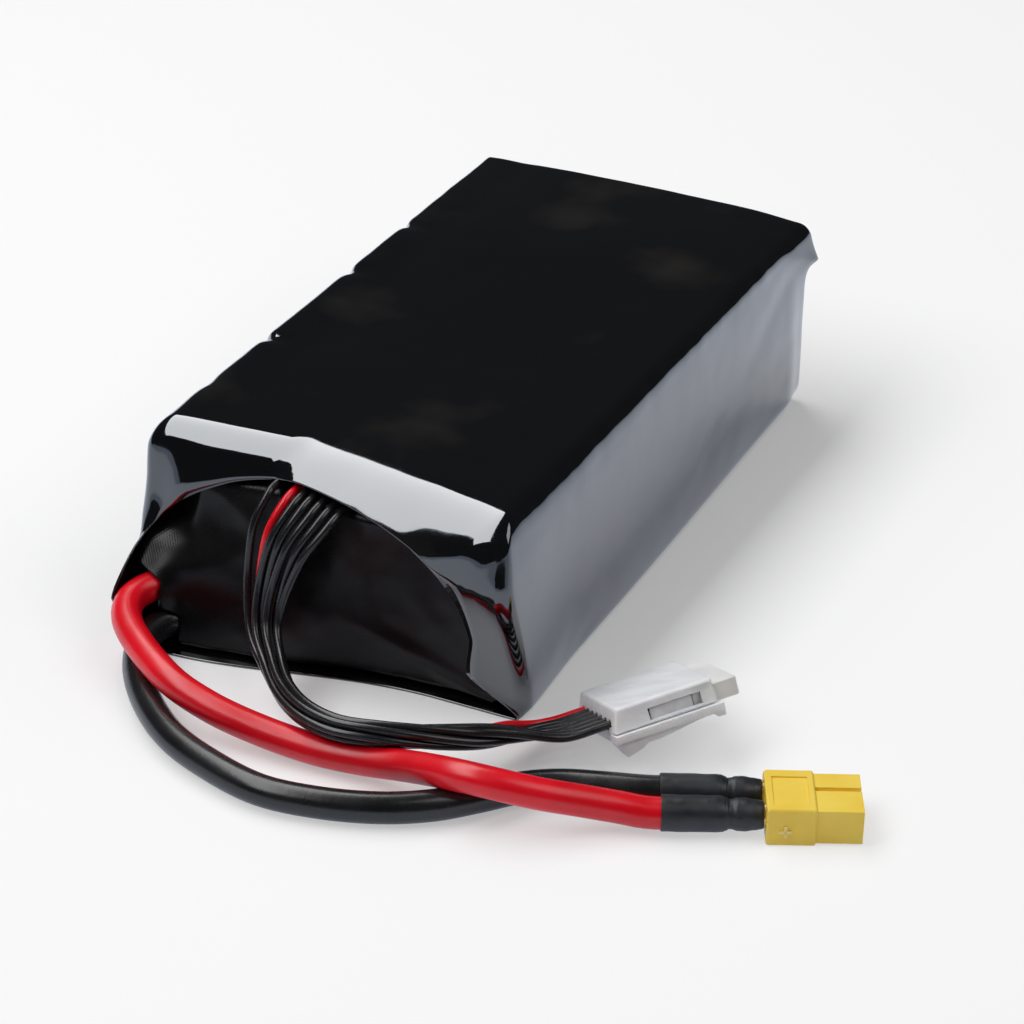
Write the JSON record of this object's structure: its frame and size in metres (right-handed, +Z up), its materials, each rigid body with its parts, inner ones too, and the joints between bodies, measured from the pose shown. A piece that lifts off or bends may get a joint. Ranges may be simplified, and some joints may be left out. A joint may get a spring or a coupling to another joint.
{
  "type": "lipo battery pack",
  "caption": "Soft pouch battery pack in glossy black shrunk film, with red and black main leads to a yellow connector and a clipped balance plug.",
  "frame": {"origin": "on the table under the middle of the sleeve's straight box", "axes": "+Z up, +Y along the pack to its rear end, the leads leave the front end at -Y"},
  "size_m": [0.1659, 0.208, 0.045],
  "materials": {
    "film": "high gloss shrunk film",
    "cloth_tape": "matt woven tape",
    "cell_pad": "thin foam",
    "pouch": "satin laminate foil",
    "fibre_plate": "matt fibre sheet",
    "tab_board": "satin solder mask",
    "nickel": "plain nickel",
    "gold": "thin gold plating",
    "lead_red": "soft satin silicone",
    "lead_black": "soft satin silicone",
    "shrink_tube": "satin shrink tube",
    "connector_yellow": "moulded nylon",
    "plug_white": "moulded nylon",
    "clip_clear": "frosted clear moulding"
  },
  "bodies": {
    "pack": {"balance_clip_base": "clip_clear", "balance_lead_1": "lead_black", "balance_lead_2": "lead_red", "balance_lead_3": "lead_black", "balance_lead_4": "lead_black", "balance_lead_5": "lead_black", "balance_lead_6": "lead_black", "balance_lead_7": "lead_black", "balance_plug": "plug_white", "bottom_plate": "fibre_plate", "cell_1": "pouch", "cell_2": "pouch", "cell_3": "pouch", "cell_4": "pouch", "cell_5": "pouch", "cell_6": "pouch", "cell_pad_1": "cell_pad", "cell_pad_2": "cell_pad", "cell_pad_3": "cell_pad", "cell_pad_4": "cell_pad", "cell_pad_5": "cell_pad", "connector_housing": "connector_yellow", "connector_socket_negative": "gold", "connector_socket_positive": "gold", "front_cloth_cover": "cloth_tape", "main_lead_negative": "lead_black", "main_lead_positive": "lead_red", "pack_tab_negative": "nickel", "pack_tab_positive": "nickel", "plug_contact_1": "nickel", "plug_contact_2": "nickel", "plug_contact_3": "nickel", "plug_contact_4": "nickel", "plug_contact_5": "nickel", "plug_contact_6": "nickel", "plug_contact_7": "nickel", "rear_end_cover": "cloth_tape", "series_link_1": "nickel", "series_link_2": "nickel", "series_link_3": "nickel", "series_link_4": "nickel", "series_link_5": "nickel", "shrink_sleeve": "film", "shrink_tube_negative": "shrink_tube", "shrink_tube_positive": "shrink_tube", "tab_board": "tab_board", "top_plate": "fibre_plate"},
    "clip_cover": {"balance_clip_cover": "clip_clear"}
  },
  "joints": [
    {"name": "clip_hinge", "type": "hinge", "parent": "pack", "child": "clip_cover", "pos_m": [0.06097, -0.06668, 0.00379], "axis": [-0.6631, -0.7364, -0.134], "range_deg": [0, 100]}
  ]
}
